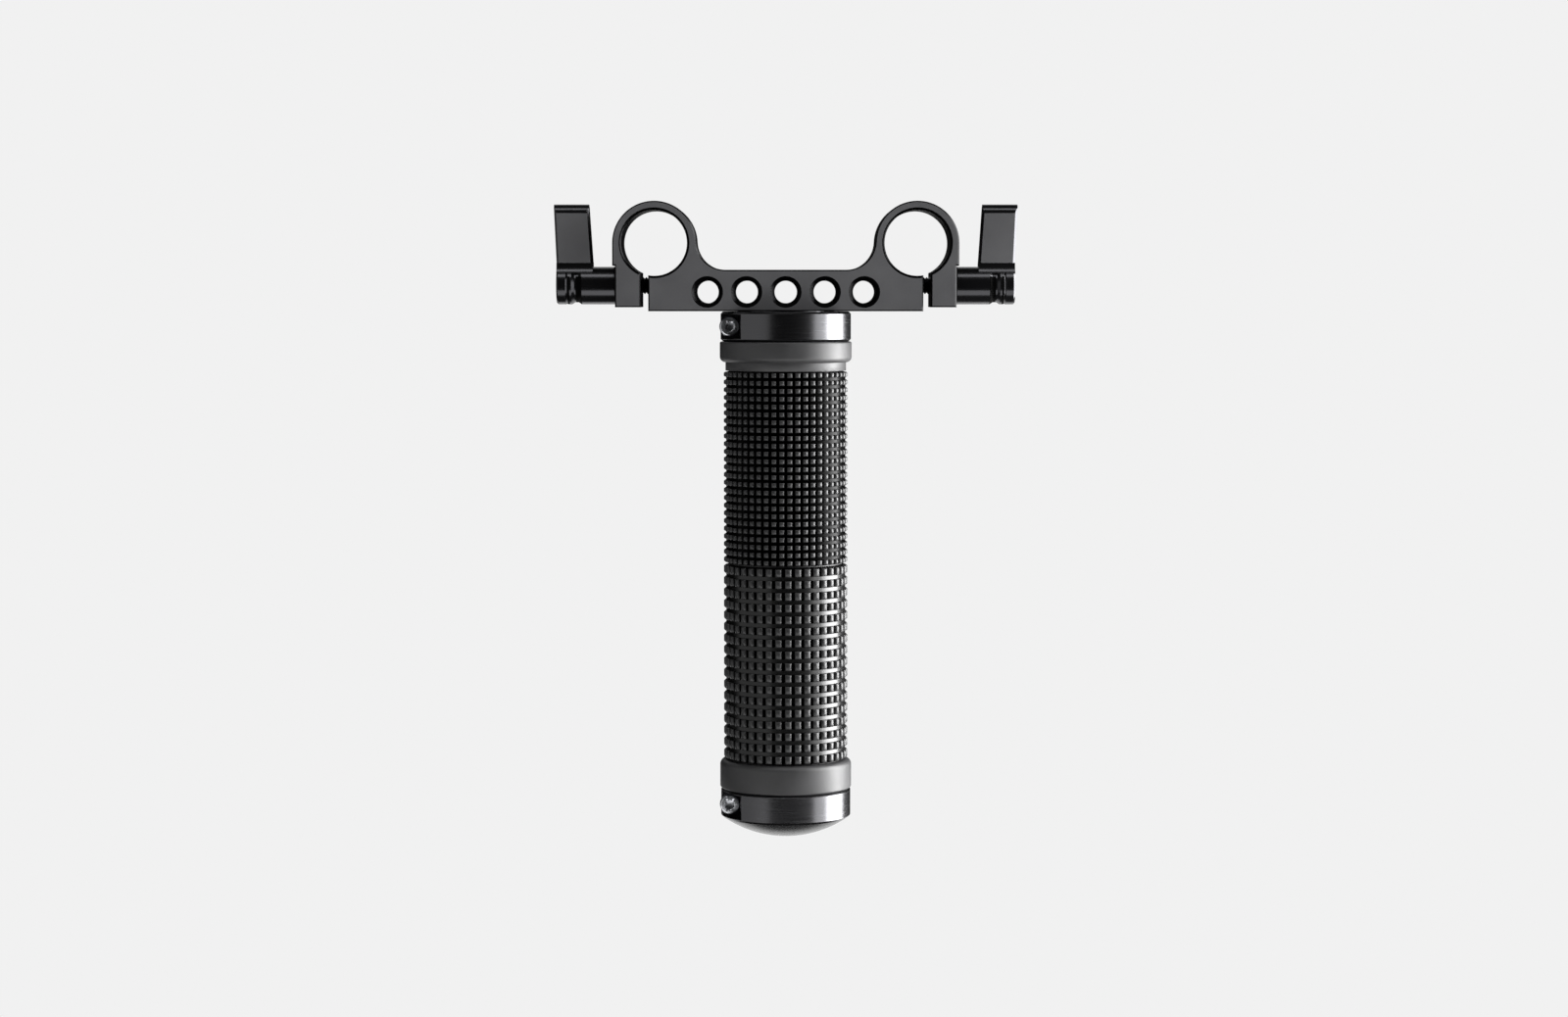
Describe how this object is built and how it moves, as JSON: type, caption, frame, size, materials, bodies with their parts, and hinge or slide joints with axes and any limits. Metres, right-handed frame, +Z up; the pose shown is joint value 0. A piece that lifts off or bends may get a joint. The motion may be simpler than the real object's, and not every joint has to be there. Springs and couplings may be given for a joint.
{
  "type": "rod mount handle",
  "caption": "Hand grip hung under a split clamp block for two parallel support rods, with a turning lever at each end.",
  "frame": {"origin": "midway between the two rod axes, at mid depth of the clamp block", "axes": "+X across the rods to the viewer's right, -Y towards the front along the rods, +Z up; the grip hangs towards -Z"},
  "size_m": [0.1064, 0.0304, 0.1468],
  "materials": {
    "clamp_black": "black anodised, satin",
    "lever_black": "black anodised, satin",
    "ring_black": "black anodised, turned and glossy",
    "tube_aluminium": "black anodised",
    "screw_black": "black oxide",
    "bolt_steel": "bright, slightly dulled",
    "sleeve_plastic": "moulded",
    "grip_rubber": "matt moulded rubber",
    "plug_plastic": "moulded, satin"
  },
  "bodies": {
    "frame": {"clamp_block": "clamp_black", "core_tube": "tube_aluminium", "mounting_screw_1": "screw_black", "mounting_screw_2": "screw_black", "mounting_screw_3": "screw_black", "mounting_screw_4": "screw_black", "grip_sleeve": "sleeve_plastic", "rubber_grip": "grip_rubber", "upper_lock_ring": "ring_black", "upper_ring_bolt": "bolt_steel", "lower_lock_ring": "ring_black", "lower_ring_bolt": "bolt_steel", "end_plug": "plug_plastic"},
    "left_lever_set": {"left_lever": "lever_black", "left_clamp_screw": "screw_black"},
    "right_lever_set": {"right_lever": "lever_black", "right_clamp_screw": "screw_black"}
  },
  "joints": [
    {"name": "left_lever_turn", "type": "hinge", "parent": "frame", "child": "left_lever_set", "pos_m": [-0.03893, 0, -0.0097], "axis": [-1, 0, 0], "range_deg": [-90, 180]},
    {"name": "right_lever_turn", "type": "hinge", "parent": "frame", "child": "right_lever_set", "pos_m": [0.03893, 0, -0.0097], "axis": [1, 0, 0], "range_deg": [-90, 180]}
  ]
}
